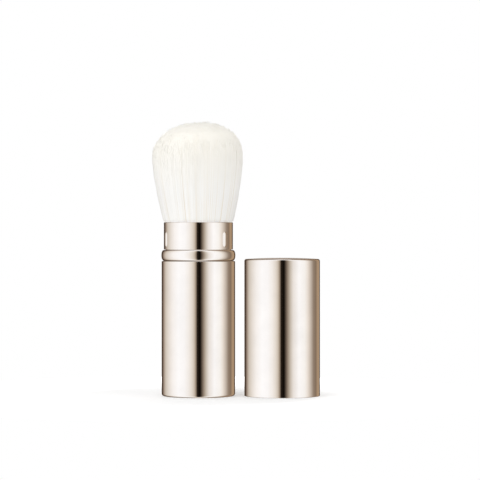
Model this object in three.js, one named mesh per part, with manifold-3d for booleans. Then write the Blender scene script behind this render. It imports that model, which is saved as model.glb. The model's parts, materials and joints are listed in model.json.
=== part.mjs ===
// A pocket powder brush with a sliding guard sleeve, standing upright, and its pulled-off cap beside it.
//
// Millimetres, +Z up. The origin is the centre of the barrel's flat underside, and the front faces -Y.
// The barrel holds a weight, a slotted liner and a post. The post carries the hair in its ferrule.
// The sleeve slides up out of the barrel over the hair, and its collar is all that shows of it at rest.

import * as THREE from "three";
import { mergeVertices } from "three/addons/utils/BufferGeometryUtils.js";
import Module from "manifold-3d";

const wasm = await Module();
wasm.setup();

// Gaps between the pieces
const GLUE_GAP = 0.15; // between two pieces that are glued or pressed together, one in the other
const SEAT_GAP = 0.3; // between a piece and the face that it stands on
const RUNNING_GAP = 0.3; // between two pieces that slide past each other
const RING_CLEARANCE = 0.12; // between the drag ring and the liner that it rubs on
const CUT_OVERRUN = 1; // how far a cutting tool runs past the piece that it cuts

// Walls, from the barrel inwards
const BARREL_RADIUS = 14;
const BARREL_WALL = 0.45;
const LINER_WALL = 0.6;
const SLEEVE_WALL = 0.5;
const FERRULE_WALL = 0.4;
const COLLAR_WALL = 0.5;
const CAP_WALL = 0.45;
const CAP_LINER_WALL = 0.45;

// The barrel and what stands on its floor
const BARREL_EDGE_RADIUS = 0.9; // outside edge round the underside
const BARREL_RIM_RADIUS = 0.15;
const WEIGHT_THICKNESS = 2.2;
const LINER_FLOOR = 0.8;
const SLOT_COUNT = 3;
const SLOT_WIDTH = 4;
const SLOT_FOOT = 0.6; // height of the closed ring that is left below each slot

// The sleeve's foot
const LUG_HEIGHT = 1.2;
const GROOVE_LAND = 0.4; // width of the ridge on each side of the drag ring's groove
const DRAG_RING_THICKNESS = 1;
const SPIGOT_HEIGHT = 2;
const SPIGOT_WALL = 0.95;

// The barrel's mouth
const BUSH_LENGTH = 4.55;
const SKIRT_DEPTH = 2.75; // how far the bead ring's skirt reaches into the barrel
const BEAD_HEIGHT = 3.8;
const BEAD_PROUD = 0.1; // how far the bead stands out past the barrel's wall

// The collar and its nubs
const COLLAR_HEIGHT = 10.3;
const COLLAR_LAP = 3.8; // how far the sleeve's tube reaches up into the collar
const NUB_COUNT = 3;
const NUB_LENGTH = 5.7;
const NUB_WIDTH = 1.9;
const NUB_PROUD = 0.32;
const NUB_RISE = 3.8; // from the collar's lower edge to the middle of a nub
const NUB_TURN = THREE.MathUtils.degToRad(-38.5); // angle of the first nub, counted from +X

// The hair, above the collar's rim
const HEAD_HEIGHT = 38.1;
const HEAD_WIDEST_RISE = 24.4; // from the rim to the widest place
const HEAD_FLARE = 3.95; // how far the widest place stands out past the collar
const HEAD_COVER = 0.2; // how far the raised sleeve stands past the hair
const BACKING_THICKNESS = 2;
const FERRULE_LIP = 1.8; // how far the ferrule stands up past the backing
const BACKING_SPLIT = 0.3; // between one quarter of the backing and the next
const STRAND_PITCH = 1.03;
const STRAND_SIDES = 3;
const STRAND_ROOT_RADIUS = 0.34;
const STRAND_BODY_RADIUS = 0.5;
const STRAND_TIP_RADIUS = 0.22;
const SHOULDER_RISE_SHARE = 0.57; // of the rise from the rim to the widest place
const SHOULDER_SPREAD_SHARE = 0.76; // of the flare from the rim to the widest place
const OUTER_TIP_SHARE = 0.97; // of the dome's radius, where the outermost strands end
const INNER_ARC_SHARE = 0.25; // of the pitch, by which the innermost strands are drawn in

// The post and its screw
const POST_FOOT_RADIUS = 8;
const POST_FOOT_HEIGHT = 2;
const POST_STEM_RADIUS = 4.5;
const POST_FLARE_HEIGHT = 6;
const POST_HEAD_HEIGHT = 3.2; // how far the post reaches up into the ferrule
const SCREW_SHANK_RADIUS = 1.25;
const SCREW_HEAD_RADIUS = 2.5;
const SCREW_HEAD_HEIGHT = 1.2;
const SCREW_LENGTH = 9; // below the head
const SCREW_CROSS_WIDTH = 0.7;
const SCREW_CROSS_LENGTH = 3.2;
const SCREW_CROSS_DEPTH = 0.6;

// The cap
const CAP_CLEARANCE = 0.2; // between the collar and the cap's liner, which the nubs bridge
const CAP_HEADROOM = 2.4; // above the raised sleeve when the cap is on
const CAP_LINER_ROOF = 0.6;
const CAP_MOUTH_SETBACK = 0.8; // from the cap's lower edge up to its liner
const CAP_EDGE_RADIUS = 0.7;
const CAP_STANDOFF = 0.4; // between the widest place of the brush and the cap beside it

// How finely the round shapes are divided
const ROUND_SIDES = 40;
const SCREW_SIDES = 20;
const EDGE_STEPS = 3;
const RIM_STEPS = 2;
const BEAD_STEPS = 8;
const RING_STEPS = 6;

// Radii that follow from the walls
const barrelBore = BARREL_RADIUS - BARREL_WALL;
const linerRadius = barrelBore - GLUE_GAP;
const linerBore = linerRadius - LINER_WALL;
const sleeveRadius = linerBore - RUNNING_GAP;
const sleeveBore = sleeveRadius - SLEEVE_WALL;
const ferruleRadius = sleeveBore - RUNNING_GAP;
const ferruleBore = ferruleRadius - FERRULE_WALL;
const spigotRadius = sleeveBore - GLUE_GAP;
const spigotBore = spigotRadius - SPIGOT_WALL;
const dragRingRadius = linerBore - RING_CLEARANCE;
const grooveRadius = dragRingRadius - DRAG_RING_THICKNESS - GLUE_GAP;
const collarBore = sleeveRadius + GLUE_GAP;
const collarRadius = collarBore + COLLAR_WALL;
const capLinerBore = collarRadius + CAP_CLEARANCE;
const capLinerRadius = capLinerBore + CAP_LINER_WALL;
const capBore = capLinerRadius + GLUE_GAP;
const capRadius = capBore + CAP_WALL;
const backingRadius = ferruleBore - GLUE_GAP;
const headRadius = collarRadius + HEAD_FLARE;
const capSpacing = Math.max(headRadius, BARREL_RADIUS + BEAD_PROUD) + CAP_STANDOFF + capRadius;

// Heights that follow from the stack on the barrel's floor, with the sleeve down
const sleeveTravel = HEAD_HEIGHT + HEAD_COVER;
const weightBottom = BARREL_WALL + GLUE_GAP;
const weightTop = weightBottom + WEIGHT_THICKNESS;
const linerBottom = weightTop + GLUE_GAP;
const linerFloorTop = linerBottom + LINER_FLOOR;
const postBottom = linerFloorTop + GLUE_GAP;
const sliderBottom = linerFloorTop + SEAT_GAP;
const lugTop = sliderBottom + LUG_HEIGHT;
const grooveBottom = lugTop + GROOVE_LAND;
const grooveTop = grooveBottom + DRAG_RING_THICKNESS + GLUE_GAP;
const sliderShoulder = grooveTop + GROOVE_LAND;
const spigotTop = sliderShoulder + SPIGOT_HEIGHT;
const sleeveBottom = sliderShoulder + GLUE_GAP;
const bushBottom = lugTop + sleeveTravel + RUNNING_GAP;
const bushTop = bushBottom + BUSH_LENGTH;
const linerTop = bushBottom - GLUE_GAP;
const skirtBottom = bushTop + GLUE_GAP;
const barrelHeight = skirtBottom + SKIRT_DEPTH;
const beadBottom = barrelHeight + SEAT_GAP;
const beadTop = beadBottom + BEAD_HEIGHT;
const collarBottom = beadTop + SEAT_GAP;
const collarRim = collarBottom + COLLAR_HEIGHT;
const sleeveTop = collarBottom + COLLAR_LAP;
const ferruleBottom = spigotTop + sleeveTravel + RUNNING_GAP;
const postTop = ferruleBottom + POST_HEAD_HEIGHT;
const backingBottom = postTop + GLUE_GAP;
const backingTop = backingBottom + BACKING_THICKNESS;
const ferruleTop = backingTop + FERRULE_LIP;
const headWidest = collarRim + HEAD_WIDEST_RISE;
const headTop = collarRim + HEAD_HEIGHT;
const capHeight =
  SEAT_GAP + COLLAR_HEIGHT + sleeveTravel + CAP_HEADROOM + CAP_LINER_ROOF + GLUE_GAP + CAP_WALL;

// Finishes
const champagneMetal = { color: 0xdcc7b3, roughness: 0.14, metalness: 1 };
const sleeveMetal = { color: 0xd8c6b6, roughness: 0.2, metalness: 1 };
const silverAluminium = { color: 0xc9cbcd, roughness: 0.3, metalness: 1 };
const steel = { color: 0x9a9c9e, roughness: 0.4, metalness: 1 };
const whitePlastic = { color: 0xe9e6e0, roughness: 0.5, metalness: 0 };
const greyPlastic = { color: 0xb9b4ac, roughness: 0.45, metalness: 0 };
const darkRubber = { color: 0x2b2a29, roughness: 0.8, metalness: 0 };
const hair = { color: 0xf6f3ea, roughness: 0.65, metalness: 0 };

const point = (radius, height) => new THREE.Vector2(radius, height);

// Points on a round edge, from one angle to another in degrees, counted from the outward direction.
function edgeArc(centreRadius, centreHeight, radius, fromDegrees, toDegrees, steps = EDGE_STEPS) {
  const points = [];
  for (let i = 0; i <= steps; i++) {
    const angle = THREE.MathUtils.degToRad(fromDegrees + ((toDegrees - fromDegrees) * i) / steps);
    points.push(
      point(centreRadius + radius * Math.cos(angle), centreHeight + radius * Math.sin(angle)),
    );
  }
  return points;
}

// Turns a profile of radius and height about the Z axis. The profile runs up its outer side.
function turned(profile, sides = ROUND_SIDES) {
  return new THREE.LatheGeometry(profile, sides).rotateX(Math.PI / 2);
}

// A profile that closes on itself, for a piece with a hole through its middle.
function closed(points) {
  return [...points, points[0].clone()];
}

function tubeProfile(bore, radius, bottom, top) {
  return closed([point(bore, bottom), point(radius, bottom), point(radius, top), point(bore, top)]);
}

// A geometry as a solid that can be joined and cut. Faces that shrank to a line on the axis are dropped.
function solidOf(geometry) {
  const bare = geometry.index ? geometry.toNonIndexed() : geometry.clone();
  bare.deleteAttribute("normal");
  bare.deleteAttribute("uv");
  const merged = mergeVertices(bare);
  const corners = merged.index.array;
  const kept = [];
  for (let i = 0; i < corners.length; i += 3) {
    const [a, b, c] = corners.slice(i, i + 3);
    if (a !== b && b !== c && c !== a) kept.push(a, b, c);
  }
  return new wasm.Manifold(
    new wasm.Mesh({
      numProp: 3,
      vertProperties: merged.getAttribute("position").array,
      triVerts: new Uint32Array(kept),
    }),
  );
}

function geometryOf(solid) {
  const mesh = solid.getMesh();
  return new THREE.BufferGeometry()
    .setAttribute("position", new THREE.BufferAttribute(mesh.vertProperties, mesh.numProp))
    .setIndex(new THREE.BufferAttribute(mesh.triVerts, 1));
}

function named(name, geometry, finish) {
  geometry.computeVertexNormals();
  const mesh = new THREE.Mesh(geometry, new THREE.MeshStandardMaterial(finish));
  mesh.name = name;
  return mesh;
}

// A block that stands on the given height, centred on X from nearX to farX, turned about Z.
function radialBlock(nearX, farX, width, bottom, top, turn) {
  return new THREE.BoxGeometry(farX - nearX, width, top - bottom)
    .translate((nearX + farX) / 2, 0, (bottom + top) / 2)
    .rotateZ(turn);
}

function evenTurns(count, first = 0) {
  return Array.from({ length: count }, (_, i) => first + (i * 2 * Math.PI) / count);
}

// A drawn cup with its closed end down at height zero: a floor and a wall of one thickness.
function cupProfile(radius, wall, height, edgeRadius, rimRadius) {
  const innerEdge = Math.max(edgeRadius - wall, 0);
  const bore = radius - wall;
  return [
    point(0, 0),
    ...edgeArc(radius - edgeRadius, edgeRadius, edgeRadius, -90, 0),
    ...edgeArc(radius - rimRadius, height - rimRadius, rimRadius, 0, 90, RIM_STEPS),
    ...edgeArc(bore + rimRadius, height - rimRadius, rimRadius, 90, 180, RIM_STEPS),
    ...edgeArc(bore - innerEdge, wall + innerEdge, innerEdge, 0, -90, RIM_STEPS),
    point(0, wall),
  ];
}

function barrelShell() {
  return turned(
    cupProfile(BARREL_RADIUS, BARREL_WALL, barrelHeight, BARREL_EDGE_RADIUS, BARREL_RIM_RADIUS),
  );
}

// The weight is a disc with a counterbore below for the screw's head.
function baseWeight() {
  const shankHole = SCREW_SHANK_RADIUS + GLUE_GAP;
  const headHole = SCREW_HEAD_RADIUS + SEAT_GAP;
  const headRoom = SCREW_HEAD_HEIGHT + GLUE_GAP;
  return turned(
    closed([
      point(headHole, weightBottom),
      point(linerRadius, weightBottom),
      point(linerRadius, weightTop),
      point(shankHole, weightTop),
      point(shankHole, weightBottom + headRoom),
      point(headHole, weightBottom + headRoom),
    ]),
  );
}

// The liner has a floor that the post stands on, and slots that the sleeve's lugs run in.
function barrelLiner() {
  const shankHole = SCREW_SHANK_RADIUS + GLUE_GAP;
  let solid = solidOf(
    turned(
      closed([
        point(shankHole, linerBottom),
        point(linerRadius, linerBottom),
        point(linerRadius, linerTop),
        point(linerBore, linerTop),
        point(linerBore, linerFloorTop),
        point(shankHole, linerFloorTop),
      ]),
    ),
  );
  const slotNear = (spigotBore + linerBore) / 2;
  const slotFar = linerRadius + CUT_OVERRUN;
  const slotBottom = linerBottom + SLOT_FOOT;
  for (const turn of evenTurns(SLOT_COUNT)) {
    const slot = radialBlock(slotNear, slotFar, SLOT_WIDTH, slotBottom, linerTop + CUT_OVERRUN, turn);
    solid = solid.subtract(solidOf(slot));
  }
  return geometryOf(solid);
}

function corePost() {
  const pilotRadius = SCREW_SHANK_RADIUS + GLUE_GAP;
  const pilotTop = weightBottom + SCREW_HEAD_HEIGHT + SCREW_LENGTH + SEAT_GAP;
  const footTop = postBottom + POST_FOOT_HEIGHT;
  const neckRadius = spigotBore - RUNNING_GAP;
  const plugRadius = ferruleBore - GLUE_GAP;
  const neckBottom = ferruleBottom - POST_FLARE_HEIGHT / 2;
  return turned([
    point(0, pilotTop),
    point(pilotRadius, pilotTop),
    point(pilotRadius, postBottom),
    point(POST_FOOT_RADIUS, postBottom),
    point(POST_FOOT_RADIUS, footTop),
    point(POST_STEM_RADIUS, footTop),
    point(POST_STEM_RADIUS, neckBottom - POST_FLARE_HEIGHT),
    point(neckRadius, neckBottom),
    point(neckRadius, ferruleBottom),
    point(plugRadius, ferruleBottom),
    point(plugRadius, postTop),
    point(0, postTop),
  ]);
}

// The screw's head is down, in the weight's counterbore, with a cross cut in its underside.
function postScrew() {
  const screwBottom = weightBottom;
  const shankBottom = screwBottom + SCREW_HEAD_HEIGHT;
  const tip = shankBottom + SCREW_LENGTH;
  let solid = solidOf(
    turned(
      [
        point(0, screwBottom),
        point(SCREW_HEAD_RADIUS, screwBottom),
        point(SCREW_HEAD_RADIUS, shankBottom),
        point(SCREW_SHANK_RADIUS, shankBottom),
        point(SCREW_SHANK_RADIUS, tip - SCREW_SHANK_RADIUS),
        point(0, tip),
      ],
      SCREW_SIDES,
    ),
  );
  const reach = SCREW_CROSS_LENGTH / 2;
  for (const turn of [0, Math.PI / 2]) {
    const cut = radialBlock(
      -reach,
      reach,
      SCREW_CROSS_WIDTH,
      screwBottom - CUT_OVERRUN,
      screwBottom + SCREW_CROSS_DEPTH,
      turn,
    );
    solid = solid.subtract(solidOf(cut));
  }
  return geometryOf(solid);
}

const ferrule = () => turned(tubeProfile(ferruleBore, ferruleRadius, ferruleBottom, ferruleTop));

const guideBush = () => turned(tubeProfile(linerBore, linerRadius, bushBottom, bushTop));

// The bead is half an ellipse in section, over a skirt that is pressed into the barrel.
function beadRing() {
  const bulge = BARREL_RADIUS + BEAD_PROUD - linerRadius;
  const middle = (beadBottom + beadTop) / 2;
  const bead = [];
  for (let i = 0; i <= BEAD_STEPS; i++) {
    const angle = Math.PI * (i / BEAD_STEPS - 0.5);
    bead.push(
      point(linerRadius + bulge * Math.cos(angle), middle + (BEAD_HEIGHT / 2) * Math.sin(angle)),
    );
  }
  return turned(
    closed([
      point(linerBore, skirtBottom),
      point(linerRadius, skirtBottom),
      ...bead,
      point(linerBore, beadTop),
    ]),
  );
}

const sleeveTube = () => turned(tubeProfile(sleeveBore, sleeveRadius, sleeveBottom, sleeveTop));

// The collar's rim is fully round. Each nub is a flattened capsule on the outside of its wall.
function collarShell() {
  const rimRadius = COLLAR_WALL / 2;
  const wallMiddle = collarRadius - rimRadius;
  let solid = solidOf(
    turned(
      closed([
        point(collarBore, collarBottom),
        point(collarRadius, collarBottom),
        ...edgeArc(wallMiddle, collarRim - rimRadius, rimRadius, 0, 180, 2 * EDGE_STEPS),
      ]),
    ),
  );
  const inside = solidOf(
    new THREE.CylinderGeometry(wallMiddle, wallMiddle, COLLAR_HEIGHT, ROUND_SIDES)
      .rotateX(Math.PI / 2)
      .translate(0, 0, collarBottom + COLLAR_HEIGHT / 2),
  );
  const nubRadius = NUB_WIDTH / 2;
  const nubReach = collarRadius + NUB_PROUD - wallMiddle;
  for (const turn of evenTurns(NUB_COUNT, NUB_TURN)) {
    const nub = new THREE.CapsuleGeometry(nubRadius, NUB_LENGTH - NUB_WIDTH, EDGE_STEPS, 2 * BEAD_STEPS)
      .rotateX(Math.PI / 2)
      .scale(nubReach / nubRadius, 1, 1)
      .translate(wallMiddle, 0, collarBottom + NUB_RISE)
      .rotateZ(turn);
    solid = solid.add(solidOf(nub).subtract(inside));
  }
  return geometryOf(solid);
}

// The foot is pressed into the sleeve's lower end. Its lugs run in the liner's slots.
function sliderRing() {
  let solid = solidOf(
    turned(
      closed([
        point(spigotBore, sliderBottom),
        point(sleeveRadius, sliderBottom),
        point(sleeveRadius, grooveBottom),
        point(grooveRadius, grooveBottom),
        point(grooveRadius, grooveTop),
        point(sleeveRadius, grooveTop),
        point(sleeveRadius, sliderShoulder),
        point(spigotRadius, sliderShoulder),
        point(spigotRadius, spigotTop),
        point(spigotBore, spigotTop),
      ]),
    ),
  );
  const lugNear = (spigotBore + sleeveRadius) / 2;
  const lugWidth = SLOT_WIDTH - 2 * RUNNING_GAP;
  for (const turn of evenTurns(SLOT_COUNT)) {
    const lug = radialBlock(lugNear, linerRadius - GLUE_GAP, lugWidth, sliderBottom, lugTop, turn);
    solid = solid.add(solidOf(lug));
  }
  return geometryOf(solid);
}

function dragRing() {
  const thickness = DRAG_RING_THICKNESS / 2;
  return new THREE.TorusGeometry(
    dragRingRadius - thickness,
    thickness,
    RING_STEPS,
    ROUND_SIDES,
  ).translate(0, 0, (grooveBottom + grooveTop) / 2);
}

// Turned over, the drawn cup's closed end is up.
function upturned(profile, height) {
  return profile.map((p) => point(p.x, height - p.y)).reverse();
}

function capShell() {
  const profile = cupProfile(capRadius, CAP_WALL, capHeight, CAP_EDGE_RADIUS, CAP_WALL / 2);
  return turned(upturned(profile, capHeight));
}

function capLiner() {
  const roofTop = capHeight - CAP_WALL - GLUE_GAP;
  const edge = Math.max(CAP_EDGE_RADIUS - CAP_WALL, 0);
  return turned([
    point(0, roofTop - CAP_LINER_ROOF),
    point(capLinerBore, roofTop - CAP_LINER_ROOF),
    point(capLinerBore, CAP_MOUTH_SETBACK),
    point(capLinerRadius, CAP_MOUTH_SETBACK),
    point(capLinerRadius, roofTop - edge),
    point(capLinerRadius - edge, roofTop),
    point(0, roofTop),
  ]);
}

// A strand that stands at a share of the bundle's radius, as rings of three corners joined by flat sides.
// All strands follow one family of curves, drawn in alike towards the axis, so none crosses another.
function strandCorners(share, turn) {
  const rootRadius = backingRadius - STRAND_ROOT_RADIUS - GLUE_GAP;
  const rimRadius = collarBore - GLUE_GAP - STRAND_BODY_RADIUS;
  const widestRadius = headRadius - STRAND_BODY_RADIUS;
  const flare = widestRadius - rimRadius;
  const tipShare = share * OUTER_TIP_SHARE;
  const domeHeight = headTop - headWidest;
  const path = [
    [rootRadius, backingBottom + BACKING_THICKNESS / 2, STRAND_ROOT_RADIUS],
    [rimRadius, collarRim, STRAND_BODY_RADIUS],
    [
      rimRadius + flare * SHOULDER_SPREAD_SHARE,
      collarRim + HEAD_WIDEST_RISE * SHOULDER_RISE_SHARE,
      STRAND_BODY_RADIUS,
    ],
    [widestRadius, headWidest + domeHeight * Math.sqrt(1 - tipShare * tipShare), STRAND_TIP_RADIUS],
  ];
  return path.map(([radius, height, thickness]) =>
    Array.from({ length: STRAND_SIDES }, (_, side) => {
      const angle = turn + (side * 2 * Math.PI) / STRAND_SIDES;
      return [
        share * radius * Math.cos(turn) + thickness * Math.cos(angle),
        share * radius * Math.sin(turn) + thickness * Math.sin(angle),
        height,
      ];
    }),
  );
}

// Writes one strand's faces: the sides between its rings, and its two ends.
function addStrand(positions, faces, rings) {
  const first = positions.length / 3;
  for (const ring of rings) for (const corner of ring) positions.push(...corner);
  const last = first + (rings.length - 1) * STRAND_SIDES;
  for (let level = 0; level < rings.length - 1; level++) {
    const low = first + level * STRAND_SIDES;
    const high = low + STRAND_SIDES;
    for (let side = 0; side < STRAND_SIDES; side++) {
      const next = (side + 1) % STRAND_SIDES;
      faces.push(low + side, low + next, high + next);
      faces.push(low + side, high + next, high + side);
    }
  }
  for (let side = 1; side < STRAND_SIDES - 1; side++) {
    faces.push(first, first + side + 1, first + side);
    faces.push(last, last + side, last + side + 1);
  }
}

// The strands of one quarter stand on arcs about the axis, evenly spaced along each arc.
function quarterStrands(quarter) {
  const positions = [];
  const faces = [];
  const rootRadius = backingRadius - STRAND_ROOT_RADIUS - GLUE_GAP;
  const arcCount = Math.round(rootRadius / STRAND_PITCH);
  const innermost = rootRadius / arcCount;
  for (let arc = 1; arc <= arcCount; arc++) {
    const radius = innermost * (arc - (1 - arc / arcCount) * INNER_ARC_SHARE);
    const count = Math.max(1, Math.round((radius * Math.PI) / 2 / STRAND_PITCH));
    for (let i = 0; i < count; i++) {
      const turn = ((quarter + (i + 0.5) / count) * Math.PI) / 2;
      addStrand(positions, faces, strandCorners(radius / rootRadius, turn));
    }
  }
  return new THREE.BufferGeometry()
    .setAttribute("position", new THREE.Float32BufferAttribute(positions, 3))
    .setIndex(faces);
}

// A quarter of the resin backing, set in from its neighbours by half the split.
function quarterBacking(quarter) {
  const inset = BACKING_SPLIT / 2;
  const start = Math.asin(inset / backingRadius);
  const outline = new THREE.Shape()
    .moveTo(inset, inset)
    .lineTo(backingRadius * Math.cos(start), inset)
    .absarc(0, 0, backingRadius, start, Math.PI / 2 - start, false);
  return new THREE.ExtrudeGeometry(outline, {
    depth: BACKING_THICKNESS,
    bevelEnabled: false,
    curveSegments: ROUND_SIDES / 4,
  })
    .translate(0, 0, backingBottom)
    .rotateZ((quarter * Math.PI) / 2);
}

function bristles(quarter) {
  return geometryOf(solidOf(quarterBacking(quarter)).add(solidOf(quarterStrands(quarter))));
}

const handle = new THREE.Group();
handle.add(
  named("barrel_shell", barrelShell(), champagneMetal),
  named("base_weight", baseWeight(), steel),
  named("barrel_liner", barrelLiner(), greyPlastic),
  named("core_post", corePost(), whitePlastic),
  named("post_screw", postScrew(), steel),
  named("ferrule", ferrule(), silverAluminium),
  named("guide_bush", guideBush(), whitePlastic),
  named("bead_ring", beadRing(), champagneMetal),
);
const quarterNames = ["back_right", "back_left", "front_left", "front_right"];
quarterNames.forEach((name, quarter) => {
  handle.add(named("bristles_" + name, bristles(quarter), hair));
});

const sleeve = new THREE.Group();
sleeve.add(
  named("sleeve_tube", sleeveTube(), sleeveMetal),
  named("collar_shell", collarShell(), champagneMetal),
  named("slider_ring", sliderRing(), whitePlastic),
  named("drag_ring", dragRing(), darkRubber),
);

const cap = new THREE.Group();
cap.position.set(capSpacing, 0, 0);
cap.add(
  named("cap_shell", capShell(), champagneMetal),
  named("cap_liner", capLiner(), greyPlastic),
);

const brush = new THREE.Group();
brush.add(handle, sleeve, cap);
export default brush;
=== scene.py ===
"""A pocket powder brush with a sliding guard sleeve, and its pulled-off cap beside it.

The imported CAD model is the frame. The metal shells, the cap's liner and the hair are new surfaces
that stand for their CAD nodes. The parts inside the barrel keep their CAD meshes and get finishes.
Lengths are in metres, +Z is up and the front faces -Y.
"""

import json
import math

import bpy
import numpy as np
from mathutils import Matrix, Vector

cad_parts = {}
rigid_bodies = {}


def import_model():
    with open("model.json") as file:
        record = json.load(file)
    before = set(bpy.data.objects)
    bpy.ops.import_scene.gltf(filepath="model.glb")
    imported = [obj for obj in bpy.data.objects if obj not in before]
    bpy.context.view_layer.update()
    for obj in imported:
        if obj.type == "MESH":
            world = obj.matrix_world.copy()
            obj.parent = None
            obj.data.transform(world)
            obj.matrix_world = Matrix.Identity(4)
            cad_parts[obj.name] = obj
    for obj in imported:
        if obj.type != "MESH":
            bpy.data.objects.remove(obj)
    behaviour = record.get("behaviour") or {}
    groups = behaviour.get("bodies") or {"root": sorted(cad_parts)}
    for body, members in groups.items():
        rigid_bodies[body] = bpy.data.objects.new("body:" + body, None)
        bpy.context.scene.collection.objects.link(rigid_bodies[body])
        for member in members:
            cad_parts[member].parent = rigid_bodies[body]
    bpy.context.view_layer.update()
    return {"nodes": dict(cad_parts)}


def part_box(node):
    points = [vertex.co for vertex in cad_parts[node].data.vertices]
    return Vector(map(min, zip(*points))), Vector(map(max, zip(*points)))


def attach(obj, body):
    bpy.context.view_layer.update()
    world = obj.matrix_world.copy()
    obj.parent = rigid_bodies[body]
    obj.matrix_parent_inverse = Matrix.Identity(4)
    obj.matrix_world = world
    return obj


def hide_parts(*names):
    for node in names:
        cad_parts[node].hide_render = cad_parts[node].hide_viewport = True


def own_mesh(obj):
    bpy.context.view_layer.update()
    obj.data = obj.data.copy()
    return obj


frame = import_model()

bl_info = {
    "name": "Retractable Makeup Brush",
    "version": (1, 0, 0),
    "blender": (4, 5, 0),
    "location": "3D View > Sidebar > Makeup Brush",
    "description": "Builds a powder brush with a sliding guard sleeve and its cap",
    "category": "Add Mesh",
}

MM = 0.001
PER_METRE = 1000.0
BAKE_MAP = "OFBake"
PLATING = "polished_plating"
GOLDEN_ANGLE = math.pi * (3 - math.sqrt(5))

# Meshes
ROUND_COLUMNS = 192
NUB_COLUMNS = 480
BEAD_ROWS = 41
CROWN_ROWS = 9
RESIN_ROWS = 12
ARC_STEPS = 8
GUARD = 0.06 * MM
SHARP_ANGLE = math.radians(50)


def extent(node):
    """A turned node's axis on X, its outer radius, and its lowest and highest level."""
    low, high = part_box(node)
    return (low.x + high.x) / 2, -low.y, low.z, high.z


_, BARREL_RADIUS, BARREL_FOOT, BARREL_MOUTH = extent("barrel_shell")
_, BEAD_RADIUS, SKIRT_FOOT, BEAD_TOP = extent("bead_ring")
_, BUSH_RADIUS, _, _ = extent("guide_bush")
_, COLLAR_RADIUS, COLLAR_FOOT, COLLAR_RIM = extent("collar_shell")
_, SLEEVE_RADIUS, SLEEVE_FOOT, SLEEVE_TOP = extent("sleeve_tube")
_, FERRULE_RADIUS, _, FERRULE_TOP = extent("ferrule")
CAP_AXIS, CAP_RADIUS, CAP_MOUTH, CAP_TOP = extent("cap_shell")
_, LINER_RADIUS, LINER_MOUTH, LINER_TOP = extent("cap_liner")
_, _, HAIR_FOOT, HAIR_TOP = extent("bristles_front_left")
QUARTERS = ("back_right", "back_left", "front_left", "front_right")

# Metal and plastic pieces
BEAD_EXPONENT = 2.2
SMALL_FILLET = 0.08 * MM
COLLAR_FOOT_FILLET = 0.12 * MM
TUBE_FILLET = 0.1 * MM
LINER_FILLET = 0.12 * MM
NUB_COUNT = 3
FIRST_NUB_DEGREES = -38.5
NUB_TURNS = tuple(math.radians(FIRST_NUB_DEGREES + 360 / NUB_COUNT * i) for i in range(NUB_COUNT))
NUB_ROUNDNESS = 0.65
NUB_ROW = 0.14 * MM
RESIN_INSET = 0.55 * MM
RESIN_DEPTH = 2 * MM
RESIN_DIP = 0.5 * MM


def length(name, description, default):
    """A size in metres that a user can set."""
    return bpy.props.FloatProperty(
        name=name, description=description, default=default, min=0.0, precision=5, unit="LENGTH"
    )


def share(name, description, default):
    """A share from 0 to 1 that a user can set."""
    return bpy.props.FloatProperty(
        name=name, description=description, default=default, min=0.0, max=1.0, subtype="FACTOR"
    )


def tint(name, description, default):
    """A colour that a user can set."""
    return bpy.props.FloatVectorProperty(
        name=name, description=description, default=default, min=0.0, max=1.0, size=3, subtype="COLOR"
    )


class BrushSizes(bpy.types.PropertyGroup):
    """Sizes that the frame's boxes don't give."""

    sheet_wall: length("Sheet wall", "Thickness of the barrel's and the cap's drawn metal", 0.45 * MM)
    barrel_edge: length("Barrel edge", "Radius of the edge round the barrel's underside", 0.9 * MM)
    barrel_rim: length("Barrel rim", "Radius of the barrel's outer rim edge", 0.3 * MM)
    bead_wall: length("Bead wall", "Thickness of the skirt under the bead", 0.6 * MM)
    bead_seat: length("Bead seat", "Open line between the barrel's rim and the bead", 0.14 * MM)
    bead_lift: length("Bead lift", "How far the bead's top stands over the node's", 0.12 * MM)
    bead_shelf: length("Bead shelf", "Flat part of the bead's top, inside its round", 0.3 * MM)
    bead_tuck: length("Bead tuck", "How far the skirt reaches up into the bead", 0.09 * MM)
    collar_wall: length("Collar wall", "Thickness of the collar's metal", 0.5 * MM)
    sleeve_wall: length("Sleeve wall", "Thickness of the sliding tube", 0.5 * MM)
    nub_length: length("Nub length", "Height of each pressed nub on the collar", 5.7 * MM)
    nub_width: length("Nub width", "Width of each pressed nub", 2.4 * MM)
    nub_proud: length("Nub height", "How far a nub stands out of the collar", 0.34 * MM)
    nub_rise: length("Nub rise", "From the collar's lower edge to the middle of a nub", 3.8 * MM)
    cap_edge: length("Cap edge", "Radius of the edge round the cap's top", 0.8 * MM)
    cap_crown: length("Cap crown", "How far the cap's top bulges", 0.45 * MM)
    liner_wall: length("Liner wall", "Thickness of the plastic liner in the cap", 0.45 * MM)
    liner_roof: length("Liner roof", "Thickness of the liner's closed end", 0.3 * MM)
    liner_play: length("Liner play", "From the liner's closed end to the node's top", 0.3 * MM)
    head_radius: length("Head radius", "Radius of the hair at its widest", 17.2 * MM)
    head_dome: length("Head dome", "Height of the dome above the widest place", 13.6 * MM)
    head_rim_radius: length("Head at the rim", "Radius of the hair just above the collar", 13.2 * MM)
    head_lean: length("Head lean", "How far the widest place leans to the left", 0.35 * MM)
    strand_radius: length("Strand radius", "Radius of one hair", 0.11 * MM)
    tip_scatter: length("Tip scatter", "Unevenness of the hair's length", 0.08 * MM)
    head_bend: share("Shoulder bend", "Share of the radius by which the outer hair bends in", 0.12)
    pressed_share: share("Pressed hair", "Share of its width that the hair keeps in the sleeve", 0.66)
    strand_count: bpy.props.IntProperty(
        name="Strands", description="Number of hairs in the whole head", default=52000, min=1000
    )


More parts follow.
